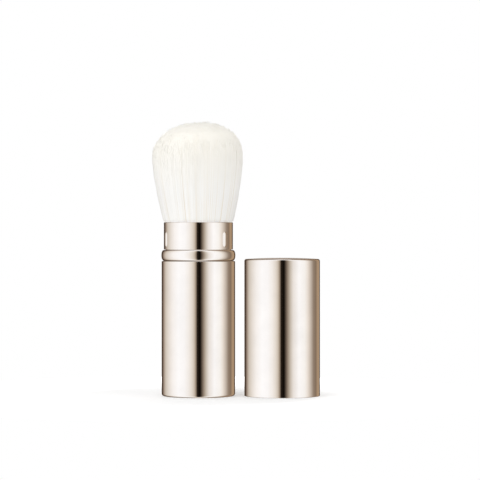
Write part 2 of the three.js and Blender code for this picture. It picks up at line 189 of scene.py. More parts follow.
class BrushColours(bpy.types.PropertyGroup):
    """Colours of the brush's finishes."""

    champagne: tint("Champagne metal", "Plating of the barrel, collar, bead and cap", (0.88, 0.8, 0.725))
    sleeve: tint("Sleeve metal", "Plating of the sliding tube", (0.82, 0.74, 0.67))
    # The skirt's near-black colour is partly painted shade: seen through the open seam under the bead, it
    # stands in for the seam's shadow.
    skirt: tint("Skirt metal", "Unplated skirt under the bead", (0.16, 0.12, 0.09))
    hair_root: tint("Hair at the root", "Colour of the hair low in the collar", (0.93, 0.91, 0.86))
    hair_body: tint("Hair", "Colour along the hair", (0.98, 0.97, 0.945))
    hair_tip: tint("Hair at the tip", "Colour of the hair's ends", (0.985, 0.962, 0.9))
    resin: tint("Resin", "Cast resin that holds the hair", (0.55, 0.42, 0.24))
    aluminium: tint("Aluminium", "Bare ferrule under the hair", (0.58, 0.59, 0.61))
    steel: tint("Steel", "Weight and screw", (0.42, 0.42, 0.43))
    white_plastic: tint("White plastic", "Post, bush and foot", (0.8, 0.78, 0.74))
    grey_plastic: tint("Grey plastic", "Liners of the barrel and the cap", (0.52, 0.49, 0.45))
    rubber: tint("Rubber", "Drag ring", (0.03, 0.029, 0.028))
    floor: tint("Floor", "Floor under the brush", (0.7, 0.7, 0.7))


def rounded_profile(*corners):
    """An outline with rounded corners, each given as (radius, height, fillet).

    An arc starts and ends where a circle of the fillet's radius touches the corner's two sides. A guard
    point just outside each arc keeps the sides' shading straight.
    """
    places = np.array([corner[:2] for corner in corners], float)
    fillets = [corner[2] for corner in corners]
    steps = np.linspace(0, 1, ARC_STEPS + 1)[:, None]
    profile = []
    for i, place in enumerate(places):
        if fillets[i] == 0:
            profile.append(place[None])
            continue
        back = places[i - 1] - place
        ahead = places[(i + 1) % len(places)] - place
        back /= np.linalg.norm(back)
        ahead /= np.linalg.norm(ahead)
        half = math.acos(np.clip(back @ ahead, -1, 1)) / 2
        reach = fillets[i] / math.tan(half)
        middle = back + ahead
        centre = place + middle / np.linalg.norm(middle) * fillets[i] / math.sin(half)
        sweep = math.pi - 2 * half
        first = place + back * reach - centre
        last = place + ahead * reach - centre
        blend = np.sin((1 - steps) * sweep) * first + np.sin(steps * sweep) * last
        arc = centre + blend / math.sin(sweep)
        profile += [place[None] + back * (reach + GUARD), arc, place[None] + ahead * (reach + GUARD)]
    return np.concatenate(profile)


def carried_round(profile, columns, axis=0.0, relief=None):
    """Points of a profile carried round an upright axis: x = axis + r cos a, y = r sin a, z = height.

    relief(angle, height, radius), where it is given, is added to the radius.
    """
    angle = np.arange(columns) * 2 * math.pi / columns
    radius = np.repeat(profile[:, :1], columns, axis=1)
    height = np.repeat(profile[:, 1:], columns, axis=1)
    if relief is not None:
        radius = radius + relief(angle[None, :], height, radius)
    return np.stack([axis + radius * np.cos(angle), radius * np.sin(angle), height], axis=-1)


def linked(name, data):
    """An object for a mesh, a lamp or a camera, in the scene."""
    made = bpy.data.objects.new(name, data)
    bpy.context.scene.collection.objects.link(made)
    return made


def new_piece(name, mesh, material, body, nodes):
    """Links a mesh, ties it to its CAD body and hides the nodes it stands for."""
    mesh.materials.append(material)
    piece = linked(name, mesh)
    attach(piece, body)
    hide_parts(*nodes)
    return piece


def turned_mesh(name, profile, columns=ROUND_COLUMNS, axis=0.0, relief=None):
    """A mesh of a profile carried round an axis. The profile runs up its outer side.

    One that starts and ends on the axis is closed there by fans. Any other closes on itself as a ring.
    """
    poles = profile[0, 0] == 0 and profile[-1, 0] == 0
    rings = profile[1:-1] if poles else profile
    points = carried_round(rings, columns, axis, relief).reshape(-1, 3)
    corner = np.arange(len(points)).reshape(len(rings), columns)
    beside = np.roll(corner, -1, axis=1)
    if poles:
        low, low_beside, high, high_beside = corner[:-1], beside[:-1], corner[1:], beside[1:]
    else:
        low, low_beside = corner, beside
        high, high_beside = np.roll(corner, -1, axis=0), np.roll(beside, -1, axis=0)
    faces = np.stack([low, low_beside, high_beside, high], axis=-1).reshape(-1, 4).tolist()
    if poles:
        first, last = len(points), len(points) + 1
        ends = [[axis, 0, profile[0, 1]], [axis, 0, profile[-1, 1]]]
        points = np.concatenate([points, ends])
        faces += np.stack([np.full(columns, first), beside[0], corner[0]], axis=-1).tolist()
        faces += np.stack([corner[-1], beside[-1], np.full(columns, last)], axis=-1).tolist()
    mesh = bpy.data.meshes.new(name)
    mesh.from_pydata(points, [], faces)
    mesh.shade_smooth()
    mesh.set_sharp_from_angle(angle=SHARP_ANGLE)
    return mesh


def turned_piece(name, profile, material, body, slot, node, **shape):
    """A piece that stands for one node. shape is what else turned_mesh takes."""
    new_piece(name, turned_mesh(name, profile, **shape), material, body, [node])


def settings(context):
    """The brush's sizes and colours."""
    return context.scene.makeup_brush_sizes, context.scene.makeup_brush_colours


def nub_relief(sizes):
    """Relief of the pressed nubs on the collar's outer wall.

    A nub rises as (1 - d^2)^e, for d the distance to its upright middle line over half its width.
    """
    half_width = sizes.nub_width / 2
    half_line = sizes.nub_length / 2 - half_width
    middle = COLLAR_FOOT + sizes.nub_rise
    inner_wall = COLLAR_RADIUS - sizes.collar_wall / 2

    def relief(angle, height, radius):
        rise = np.zeros(radius.shape)
        for turn in NUB_TURNS:
            across = (angle - turn + math.pi) % (2 * math.pi) - math.pi
            along = np.maximum(np.abs(height - middle) - half_line, 0)
            distance = np.hypot(across * COLLAR_RADIUS, along) / half_width
            crown = np.clip(1 - distance**2, 0, 1) ** NUB_ROUNDNESS
            rise = np.maximum(rise, sizes.nub_proud * crown)
        return np.where(radius > inner_wall, rise, 0)

    return relief


# Finishes
NOISE_MIDDLE = (0.3, 0.7)
METAL_CLOUDS_PER_MM = 0.12
PLASTIC_CLOUDS_PER_MM = 0.2
PLASTIC_DULLEST_SHARE = 0.9
METAL_DETAIL = 3.0
PLASTIC_DETAIL = 4.0
SKIN_SPREAD = (-0.06, 0.08)
SATIN_ROUGHNESS = 0.38
SATIN_BLEND = 0.05 * MM

# A mix node's colour sockets
MIX_FIRST, MIX_SECOND, MIX_RESULT = 6, 7, 2

# Metals: range of roughness, lines per millimetre on each axis, bump depth, dullest share of the colour
POLISHED = ((0.035, 0.065), (0.8, 0.8, 0.8), 0.00001 * MM, 0.94)
SATIN_TUBE = ((0.16, 0.26), (0.02, 0.02, 7), 0.0004 * MM, 0.94)
# The skirt's finish is near-black partly as painted shade, the shadow in the seam under the bead.
SKIRT_SEAM_SHADE = ((0.45, 0.6), (0.4, 0.4, 0.4), 0.0004 * MM, 0.8)
TURNED_STEEL = ((0.3, 0.46), (3, 3, 0.3), 0.001 * MM, 0.8)
BARE_ALUMINIUM = ((0.24, 0.38), (5, 5, 0.03), 0.0008 * MM, 0.88)

# Plastics, resin and rubber: roughness, bump depth, grains per millimetre
LINER_PLASTIC = (0.42, 0.004 * MM, 2.5)
CAST_RESIN = (0.2, 0.01 * MM, 0.6)
WHITE_PLASTIC = (0.45, 0.005 * MM, 2.5)
GREY_PLASTIC = (0.4, 0.004 * MM, 2.5)
SOFT_RUBBER = (0.75, 0.01 * MM, 5)

# The hair's colours: places along V, the warm tones along U, and how the warmth fades along V
HAIR_COLOUR_SHARES = (0, 0.3, 0.48, 0.74)
WARM_TONES = (
    (0, (0.88, 0.82, 0.72)),
    (0.2, (0.925, 0.885, 0.82)),
    (0.42, (0.975, 0.965, 0.945)),
    (0.62, (1, 1, 1)),
)
WARMTH_FADE = (0.38, 0.66)
WARMTH_KEPT = (1, 0.2)


def new_material(name):
    """A new material, its node tree and its shader."""
    material = bpy.data.materials.new(name)
    material.use_nodes = True
    return material, material.node_tree, material.node_tree.nodes["Principled BSDF"]


def set_inputs(tree, node, inputs):
    """Sets a node's inputs, each to a plain value or to another node's output."""
    for key, value in inputs.items():
        if isinstance(value, bpy.types.NodeSocket):
            tree.links.new(value, node.inputs[key])
        else:
            node.inputs[key].default_value = value


def new_node(tree, kind, inputs, **options):
    """The outputs of a new shader node of a kind, with its options and inputs."""
    node = tree.nodes.new("ShaderNode" + kind)
    for key, value in options.items():
        setattr(node, key, value)
    set_inputs(tree, node, inputs)
    return node.outputs


def own_place(tree):
    """A point's place in its own object."""
    return new_node(tree, "TexCoord", {})["Object"]


def axes(tree, vector):
    """The X, Y and Z of a vector."""
    return new_node(tree, "SeparateXYZ", {"Vector": vector})


def mapped(tree, value, source, target):
    """A number that runs over the target range as value runs over the source range."""
    limits = dict(zip(("From Min", "From Max", "To Min", "To Max"), (*source, *target)))
    return new_node(tree, "MapRange", {"Value": value, **limits})["Result"]


def calculated(tree, operation, first, second):
    """The result of an operation on two numbers."""
    return new_node(tree, "Math", {0: first, 1: second}, operation=operation)["Value"]


def grain(tree, stretch, detail=2.0):
    """Noise over a piece's own place. stretch is the pattern's count per millimetre along each axis."""
    scale = [PER_METRE * count for count in stretch]
    place = new_node(tree, "Mapping", {"Vector": own_place(tree), "Scale": scale})["Vector"]
    return new_node(tree, "TexNoise", {"Vector": place, "Scale": 1.0, "Detail": detail})["Fac"]


def colour_band(tree, factor, stops):
    """A colour picked from a ramp by factor. stops holds (position, colour)."""
    ramp = tree.nodes.new("ShaderNodeValToRGB")
    band = ramp.color_ramp
    band.elements[0].position = stops[0][0]
    band.elements[-1].position = stops[-1][0]
    for position, _ in stops[1:-1]:
        band.elements.new(position)
    for element, (_, colour) in zip(band.elements, stops):
        element.color = (*colour, 1)
    tree.links.new(factor, ramp.inputs["Fac"])
    return ramp.outputs["Color"]


def shaded(colour, share_kept):
    """A colour made darker, each channel times the share that is kept."""
    return tuple(channel * share_kept for channel in colour)


def clouded(tree, colour, per_mm, dullest_share):
    """A colour with faint clouds in it, down to its dullest share."""
    cloud = mapped(tree, grain(tree, (per_mm,) * 3), NOISE_MIDDLE, (0, 1))
    return colour_band(tree, cloud, ((0, shaded(colour, dullest_share)), (1, colour)))


def textured(tree, pattern, roughness, depth):
    """Shader inputs for a roughness that runs over a range with a pattern, and a bump as deep as depth."""
    bump = new_node(tree, "Bump", {"Strength": 1.0, "Distance": depth, "Height": pattern})
    return {"Roughness": mapped(tree, pattern, NOISE_MIDDLE, roughness), "Normal": bump["Normal"]}


def metal(name, colour, roughness, lines, depth, dullest_share):
    """Plated or bare metal: faintly cloudy, with fine lines in its gloss and bump."""
    material, tree, shader = new_material(name)
    clouds = clouded(tree, tuple(colour), METAL_CLOUDS_PER_MM, dullest_share)
    skin = textured(tree, grain(tree, lines, METAL_DETAIL), roughness, depth)
    set_inputs(tree, shader, {"Base Color": clouds, "Metallic": 1.0, **skin})
    return material


def moulded(name, colour, roughness, depth, per_mm):
    """Moulded plastic, resin or rubber: a fine eroded skin, with slight clouding in the colour."""
    material, tree, shader = new_material(name)
    clouds = clouded(tree, tuple(colour), PLASTIC_CLOUDS_PER_MM, PLASTIC_DULLEST_SHARE)
    pattern = grain(tree, (per_mm,) * 3, PLASTIC_DETAIL)
    skin = textured(tree, pattern, [roughness + part for part in SKIN_SPREAD], depth)
    set_inputs(tree, shader, {"Base Color": clouds, "Specular IOR Level": 0.4, **skin})
    return material


def polished(name, colours):
    """Champagne plating with a mirror polish."""
    return metal(name, colours.champagne, *POLISHED)


def champagne_metal(colours):
    """The polished plating, one material that the barrel, the bead and the collar share."""
    return bpy.data.materials.get(PLATING) or polished(PLATING, colours)


def capped_plating(colours, level):
    """The same plating, polished up to a level and satin above it, which is the cap's closed end."""
    material = polished("capped_plating", colours)
    tree = material.node_tree
    shader = tree.nodes["Principled BSDF"]
    height = axes(tree, own_place(tree))["Z"]
    satin = mapped(tree, height, (level - SATIN_BLEND, level), (0, 1))
    gloss = shader.inputs["Roughness"].links[0].from_socket
    mix = new_node(tree, "Mix", {"Factor": satin, "A": gloss, "B": SATIN_ROUGHNESS})
    set_inputs(tree, shader, {"Roughness": mix["Result"]})
    return material


def hair_material(colours):
    """White hair. Its colour changes from root to tip along V, and from warm to white along U."""
    material, tree, shader = new_material("white_hair")
    unrolled = new_node(tree, "UVMap", {}, uv_map=BAKE_MAP)["UV"]
    tone, rise, _ = axes(tree, unrolled)
    root, body, tip = colours.hair_root, colours.hair_body, colours.hair_tip
    along = colour_band(tree, rise, tuple(zip(HAIR_COLOUR_SHARES, (root, body, body, tip))))
    warm = colour_band(tree, tone, WARM_TONES)
    fade = mapped(tree, rise, WARMTH_FADE, WARMTH_KEPT)
    inputs = {"Factor": fade, MIX_FIRST: along, MIX_SECOND: warm}
    mix = new_node(tree, "Mix", inputs, data_type="RGBA", blend_type="MULTIPLY")
    sheen = {"Sheen Weight": 0.1, "Sheen Roughness": 0.5}
    gloss = {"Roughness": 0.55, "Specular IOR Level": 0.25}
    set_inputs(tree, shader, {"Base Color": mix[MIX_RESULT], **gloss, **sheen})
    return material


# The head's form
HEAD_EXPONENT = 2.2
FLARE_EXPONENT = 1.5
HEAD_TILT = 0.045
RIM_GIVE = 0.5 * MM
RIM_GIVE_REACH = 2.5 * RIM_GIVE
ROOT_INSET = 0.75 * MM
COLLAR_PLAY = 0.2 * MM
CAP_PLAY = 0.15 * MM
CAP_SIDE_LIMIT = CAP_AXIS - CAP_RADIUS - CAP_PLAY

# Where strands stand, and the levels and shares of the way to the tip that they pass
SEED = 7
TUFTS_PER_QUARTER = 5
OUTER_SHARE = 0.86
STRAND_FOOT = HAIR_FOOT + 1 * MM
HELD_LEVEL = FERRULE_TOP + 3 * MM
FREE_LEVEL = COLLAR_RIM + RIM_GIVE * 2
OUTER_PATH = ((STRAND_FOOT, HELD_LEVEL, COLLAR_RIM - RIM_GIVE, FREE_LEVEL), (0.3, 0.58, 0.78, 0.91))
INNER_PATH = ((COLLAR_RIM,), ())

# Clumps: how many waves, and the slowest and fastest turn of each over the head's radius
FINE_WAVES = (16, 70, 170)
BROAD_WAVES = (10, 18, 45)
FINE_DRIFT = 0.035 * MM
BROAD_DRIFT = 0.04 * MM
DRIFT_POWER = 1.3
STRAY_SHARE = 0.012
STRAY_SCATTER = 0.3 * MM
STEADY_SCATTER = 0.03 * MM

# Tips
FINE_TIP = 0.08 * MM
BROAD_TIP = 0.05 * MM
LONG_SHARE = 0.03
LONG_TIP = 0.8 * MM
TIP_SINK = 0.4 * MM
TIP_LENGTH = 0.03 * MM
TIP_WIDTH = 0.9
DOME_REACH = 0.992
LEAST_CLIMB = 1 * MM
BEND_POWER = 6
LEAST_BEND = 0.1
BEND_RANGE = 2
BEND_SKEW = 1.6

# One strand's section and shading
STRAND_SIDES = 4
SPIN_SPREAD = 0.15
THICKNESS_RANGE = (0.85, 1.15)
NORMAL_LEAN_SHARE = 0.97
NORMAL_RISE_SHARE = 0.5

# Tones, as columns of the bake map
HAIR_TONES = 64
MIDDLE_TONE = 0.54
FINE_TONE = 0.17
BROAD_TONE = 0.16
TONE_SCATTER = 0.1
LAST_TONE = 0.999
COLUMN_EDGE = 0.15
COLUMN_WIDTH = 0.7
MAP_HEADROOM = 2 * MM

# The packed hair behind the outer strands
CORE_ROWS = 16
CORE_COLUMNS = 6
CORE_SHARE = 0.985
CORE_DEPTH = 0.7 * MM
CORE_TONE = 40
CORE_COLUMN_WIDTH = 0.5


def eased(part):
    """The smooth step from 0 to 1, 3 t^2 - 2 t^3."""
    return part * part * (3 - 2 * part)


def head_outline(height, sizes):
    """Radius of the whole head at a height.

    Above the collar's rim it is the widest radius less a power of the fall from the widest place. Inside
    the collar it is straight from the ferrule's bore to the collar's. A smooth step joins them.
    """
    widest = HAIR_TOP - sizes.head_dome
    fall = np.clip((widest - height) / (widest - COLLAR_RIM), 0, 1)
    flare = sizes.head_radius - (sizes.head_radius - sizes.head_rim_radius) * fall**FLARE_EXPONENT
    root_radius = FERRULE_RADIUS - ROOT_INSET
    held_radius = COLLAR_RADIUS - sizes.collar_wall - COLLAR_PLAY
    climb = np.clip((height - FERRULE_TOP) / (COLLAR_RIM - FERRULE_TOP), 0, 1)
    held = root_radius + (held_radius - root_radius) * climb
    give = eased(np.clip((height - COLLAR_RIM + RIM_GIVE / 2) / RIM_GIVE_REACH, 0, 1))
    return held + (flare - held) * give


def head_shift(height, sizes):
    """Share of the head's lean at a height: a smooth step from the rim to the widest place."""
    widest = HAIR_TOP - sizes.head_dome
    return eased(np.clip((height - COLLAR_RIM) / (widest - COLLAR_RIM), 0, 1))


def head_facing(radius, rise, angle, sizes):
    """Which way the head is shaded as facing, from a point's radius, share of the dome and angle.

    It is square to radius^e + rise^e = 1, with a smaller upward part, so the shoulder isn't too bright.
    """
    out = (radius / sizes.head_radius) ** (HEAD_EXPONENT - 1) / sizes.head_radius
    up = NORMAL_RISE_SHARE * rise ** (HEAD_EXPONENT - 1) / sizes.head_dome
    facing = np.stack(np.broadcast_arrays(out * np.cos(angle), out * np.sin(angle), up), axis=-1)
    return facing / np.linalg.norm(facing, axis=-1, keepdims=True)


def clump_pull(x, y, rng, waves, slowest, fastest):
    """Crossing waves over the unit disc: the slope towards the nearest crest on X and Y, and the height.

    Each is the sum of the waves over the root of their number.
    """
    pace = rng.uniform(slowest, fastest, waves)
    turn = rng.uniform(0, 2 * math.pi, waves)
    phase = rng.uniform(0, 2 * math.pi, waves)
    wave = pace * (np.cos(turn) * x[:, None] + np.sin(turn) * y[:, None]) + phase
    slope = -np.sin(wave) / math.sqrt(waves)
    crest = np.cos(wave).sum(axis=1) / math.sqrt(waves)
    return slope @ np.cos(turn), slope @ np.sin(turn), crest


def strewn_strands(sizes, rng):
    """Every strand's place, the ways in which it strays, and its tone.

    The places are an even spiral: share^2 = i / count, with the golden angle from one to the next. A
    strand's drift, length and tone follow its clump's waves.
    """
    count = sizes.strand_count
    index = np.arange(count) + 0.5
    near = np.sqrt(index / count)
    angle = (index * GOLDEN_ANGLE) % (2 * math.pi)
    x, y = near * np.cos(angle), near * np.sin(angle)
    fine_x, fine_y, fine_crest = clump_pull(x, y, rng, *FINE_WAVES)
    broad_x, broad_y, broad_crest = clump_pull(x, y, rng, *BROAD_WAVES)
    astray = rng.normal(0, 1, (2, count))
    astray *= np.where(rng.uniform(size=count) < STRAY_SHARE, STRAY_SCATTER, STEADY_SCATTER)
    uneven = rng.normal(0, 1, count) * sizes.tip_scatter
    is_long = rng.uniform(size=count) < LONG_SHARE
    longer = np.where(is_long, rng.uniform(size=count), 0) * LONG_TIP
    bend_scatter = LEAST_BEND + BEND_RANGE * rng.uniform(size=count) ** BEND_SKEW
    values = {
        "drift_x": FINE_DRIFT * fine_x + BROAD_DRIFT * broad_x + astray[0],
        "drift_y": FINE_DRIFT * fine_y + BROAD_DRIFT * broad_y + astray[1],
        "tip": FINE_TIP * fine_crest + BROAD_TIP * broad_crest + uneven + longer,
        "bend": sizes.head_bend * near**BEND_POWER * bend_scatter,
    }
    pale = MIDDLE_TONE + FINE_TONE * fine_crest + BROAD_TONE * broad_crest
    pale = pale + rng.normal(0, TONE_SCATTER, count)
    return near, angle, values, (np.clip(pale, 0, LAST_TONE) * HAIR_TONES).astype(int)


def strand_paths(near, angle, levels, rises, values, sizes):
    """Points of some strands, by strand and level, and which way the head faces at each.

    near is a strand's share of the head's radius, which it keeps up to the widest place. It drifts towards
    its clump's crest as it rises. Above the widest place it bends in by climb^e times its bend. Its tip
    stands over the widest place by the dome's height times (1 - (share - bend)^e)^(1/e), less a sink that
    leaves room for the longer tips.
    """
    bend = values["bend"]
    widest = HAIR_TOP - sizes.head_dome
    reach = (near - bend) * DOME_REACH
    dome = sizes.head_dome * np.clip(1 - reach**HEAD_EXPONENT, 0, 1) ** (1 / HEAD_EXPONENT)
    side = reach * sizes.head_radius * np.cos(angle)
    tip = widest + dome - TIP_SINK + HEAD_TILT * side + values["tip"]
    low = [np.full(near.shape, level) for level in levels]
    high = [FREE_LEVEL + (tip - FREE_LEVEL) * rise for rise in rises]
    height = np.stack([*low, *high, tip - TIP_LENGTH, tip], axis=1)
    growth = np.clip((height - COLLAR_RIM) / (tip[:, None] - COLLAR_RIM), 0, 1) ** DRIFT_POWER
    climb = np.clip((height - widest) / np.maximum(tip - widest, LEAST_CLIMB)[:, None], 0, 1)
    radius = (near[:, None] - bend[:, None] * climb**HEAD_EXPONENT) * head_outline(height, sizes)
    angle = angle[:, None]
    x = radius * np.cos(angle) + values["drift_x"][:, None] * growth
    y = radius * np.sin(angle) + values["drift_y"][:, None] * growth
    x = np.minimum(x - sizes.head_lean * head_shift(height, sizes), CAP_SIDE_LIMIT)
    over = np.clip((height - widest) / sizes.head_dome, 0, 1)
    return np.stack([x, y, height], axis=-1), head_facing(radius, over, angle, sizes)


def closed_tube(corner, beside, end):
    """Triangles of a tube: its sides, the fan to its end and the fan across its first row.

    corner holds its corners row by row, and beside the ones next to them.
    """
    foot = corner[0]
    parts = (
        (corner[:-1], beside[:-1], beside[1:]),
        (corner[:-1], beside[1:], corner[1:]),
        (corner[-1], beside[-1], end),
        (foot[2:], foot[1:-1], np.full(len(foot) - 2, foot[0])),
    )
    return np.concatenate([np.stack(part, axis=-1).reshape(-1, 3) for part in parts])


def mapped_places(across, height):
    """Places on the bake map: a tone's column across, and the height up the hair."""
    u = across / HAIR_TONES
    v = (height - HAIR_FOOT) / (HAIR_TOP + MAP_HEADROOM - HAIR_FOOT)
    return np.stack([u, v], axis=-1).reshape(-1, 2)


def tuft_core(first, last, sizes):
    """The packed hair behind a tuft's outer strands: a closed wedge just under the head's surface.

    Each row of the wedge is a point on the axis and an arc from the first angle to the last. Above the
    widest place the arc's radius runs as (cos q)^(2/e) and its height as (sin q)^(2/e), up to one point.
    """
    widest = HAIR_TOP - sizes.head_dome
    dome = sizes.head_dome - CORE_DEPTH
    low = np.linspace(STRAND_FOOT, widest, CORE_ROWS)
    q = np.linspace(0, math.pi / 2, CORE_ROWS)[1:-1]
    rise = np.concatenate([np.zeros(CORE_ROWS), np.sin(q) ** (2 / HEAD_EXPONENT)])[:, None]
    dome_radius = sizes.head_radius * np.cos(q) ** (2 / HEAD_EXPONENT)
    radius = CORE_SHARE * np.concatenate([head_outline(low, sizes), dome_radius])[:, None]
    height = np.concatenate([low, widest + dome * rise[CORE_ROWS:, 0]])[:, None]
    angle = np.concatenate([[(first + last) / 2], np.linspace(first, last, CORE_COLUMNS)])
    off_axis = np.minimum(np.arange(CORE_COLUMNS + 1), 1)
    x, y = radius * off_axis * np.cos(angle), radius * off_axis * np.sin(angle)
    shift = head_shift(height, sizes)
    points = np.stack([x - sizes.head_lean * shift, y, height + HEAD_TILT * x * shift], axis=-1)
    points = np.concatenate([points.reshape(-1, 3), [[-sizes.head_lean, 0, widest + dome]]])
    normals = head_facing(radius, rise, angle, sizes).reshape(-1, 3)
    normals = np.concatenate([normals, [[0, 0, 1]]])
    corner = np.arange(len(points) - 1).reshape(-1, len(angle))
    faces = closed_tube(corner, np.roll(corner, -1, axis=1), np.full(len(angle), corner.size))
    across = CORE_TONE + CORE_COLUMN_WIDTH * (faces % 2)
    return points, faces, mapped_places(across, points[:, 2][faces]), normals


def strand_tubes(paths, facing, angle, sizes, rng):
    """Points and shading of some strands, each a square tube that one point closes at its tip.

    One of a strand's four sides faces out. A corner's shading leans from its own direction towards the
    head's surface, as far as the two sides beside it allow: for c = cos(half a side's turn) and w the
    worse of the two sides' products with the surface's direction, the lean is c / (c + max(0, -w)).
    """
    strands, levels = paths.shape[:2]
    step = 2 * math.pi / STRAND_SIDES
    spin = step / 2 + rng.normal(0, SPIN_SPREAD, strands)
    turn = (spin[:, None] + np.arange(STRAND_SIDES) * step)[:, None, :, None]
    heading = np.gradient(paths, axis=1)
    heading /= np.linalg.norm(heading, axis=-1, keepdims=True)
    sideways = np.stack([-np.sin(angle), np.cos(angle), np.zeros(strands)], axis=-1)[:, None, None]
    outward = np.cross(sideways[:, :, 0], heading)[:, :, None]
    surface = facing[:, :, None]
    corners, before, after = (
        np.cos(turn + part) * outward + np.sin(turn + part) * sideways for part in (0, -step / 2, step / 2)
    )
    worst = np.minimum(*((surface * flat).sum(axis=-1, keepdims=True) for flat in (before, after)))
    spread = math.cos(step / 2)
    lean = NORMAL_LEAN_SHARE * spread / (spread + np.maximum(-worst, 0))
    thick = sizes.strand_radius * rng.uniform(*THICKNESS_RANGE, (strands, 1)) * np.ones(levels)
    thick[:, -2] *= TIP_WIDTH
    rings = paths[:, :-1, None] + thick[:, :-1, None, None] * corners[:, :-1]
    points = np.concatenate([rings.reshape(strands, -1, 3), paths[:, -1:]], axis=1)
    leaned = (corners + (surface - corners) * lean)[:, :-1]
    normals = np.concatenate([leaned.reshape(strands, -1, 3), heading[:, -1:]], axis=1)
    return points, normals


def tuft_mesh(name, groups, core, sizes, rng):
    """One mesh of a tuft's core and its strands, each in a narrow column of the bake map at its tone."""
    parts = [core]
    count = len(core[0])
    for paths, facing, angle, tone in groups:
        points, normals = strand_tubes(paths, facing, angle, sizes, rng)
        strands, corners = points.shape[:2]
        corner = np.arange(corners - 1).reshape(-1, STRAND_SIDES)
        faces = closed_tube(corner, np.roll(corner, -1, axis=1), np.full(STRAND_SIDES, corner.size))
        # The same faces as places across a tone's column. The tip stands half-way across its side.
        column = corner % STRAND_SIDES
        columns = closed_tube(column, column + 1, column[-1] + 0.5)
        across = tone[:, None, None] + COLUMN_EDGE + COLUMN_WIDTH * columns / STRAND_SIDES
        places = mapped_places(across, points[:, :, 2][:, faces])
        faces = faces + count + np.arange(strands)[:, None, None] * corners
        parts.append((points.reshape(-1, 3), faces.reshape(-1, 3), places, normals.reshape(-1, 3)))
        count += strands * corners
    points, faces, places, normals = map(np.concatenate, zip(*parts))
    mesh = bpy.data.meshes.new(name)
    mesh.vertices.add(len(points))
    mesh.vertices.foreach_set("co", points.astype(np.float32).ravel())
    mesh.loops.add(faces.size)
    mesh.loops.foreach_set("vertex_index", faces.astype(np.int32).ravel())
    mesh.polygons.add(len(faces))
    mesh.polygons.foreach_set("loop_start", np.arange(0, faces.size, 3, dtype=np.int32))
    mesh.update(calc_edges=True)
    mesh.uv_layers.new(name=BAKE_MAP)
    mesh.uv_layers[BAKE_MAP].uv.foreach_set("vector", places.astype(np.float32).ravel())
    mesh.shade_smooth()
    normals /= np.linalg.norm(normals, axis=1, keepdims=True)
    mesh.normals_split_custom_set_from_vertices(normals)
    return mesh


class MAKEUPBRUSH_OT_barrel(bpy.types.Operator):
    """Draw the barrel, a metal cup that stands on its closed end"""

    bl_idname = "makeup_brush.barrel"
    bl_label = "Barrel"

    def execute(self, context):
        sizes, colours = settings(context)
        bore = BARREL_RADIUS - sizes.sheet_wall
        floor = BARREL_FOOT + sizes.sheet_wall
        profile = rounded_profile(
            (0, BARREL_FOOT, 0),
            (BARREL_RADIUS, BARREL_FOOT, sizes.barrel_edge),
            (BARREL_RADIUS, BARREL_MOUTH, sizes.barrel_rim),
            (bore, BARREL_MOUTH, 0),
            (bore, floor, sizes.barrel_edge - sizes.sheet_wall),
            (0, floor, 0),
        )
        material = champagne_metal(colours)
        turned_piece("barrel", profile, material, "handle", "champagne_metal", "barrel_shell")
        return {"FINISHED"}


class MAKEUPBRUSH_OT_bead(bpy.types.Operator):
    """Make the bead ring in the barrel's mouth, as |x|^e + |z|^e = 1 round its middle"""

    bl_idname = "makeup_brush.bead"
    bl_label = "Bead ring"

    def execute(self, context):
        sizes, colours = settings(context)
        bore = BUSH_RADIUS - sizes.bead_wall
        root = bore + sizes.bead_shelf
        foot = BARREL_MOUTH + sizes.bead_seat
        top = BEAD_TOP + sizes.bead_lift
        middle, half_height = (foot + top) / 2, (top - foot) / 2
        angle = np.linspace(-math.pi / 2, math.pi / 2, BEAD_ROWS)
        bulge = (BEAD_RADIUS - root) * np.cos(angle) ** (2 / BEAD_EXPONENT)
        rise = half_height * np.sign(angle) * np.abs(np.sin(angle)) ** (2 / BEAD_EXPONENT)
        bead = np.stack([root + bulge, middle + rise], axis=-1)
        profile = np.concatenate([[(bore, foot)], bead, [(bore, top)]])
        material = champagne_metal(colours)
        columns = 2 * ROUND_COLUMNS
        turned_piece("bead", profile, material, "handle", "champagne_metal", "bead_ring", columns=columns)
        profile = rounded_profile(
            (bore, SKIRT_FOOT, SMALL_FILLET),
            (BUSH_RADIUS, SKIRT_FOOT, SMALL_FILLET),
            (BUSH_RADIUS, foot + sizes.bead_tuck, 0),
            (bore, foot + sizes.bead_tuck, 0),
        )
        # The skirt's near-black colour paints the shadow in the open seam between the barrel's rim and the
        # bead.
        material = metal("skirt_painted_seam_shade", colours.skirt, *SKIRT_SEAM_SHADE)
        turned_piece("bead_skirt", profile, material, "handle", "champagne_metal", "bead_ring")
        return {"FINISHED"}


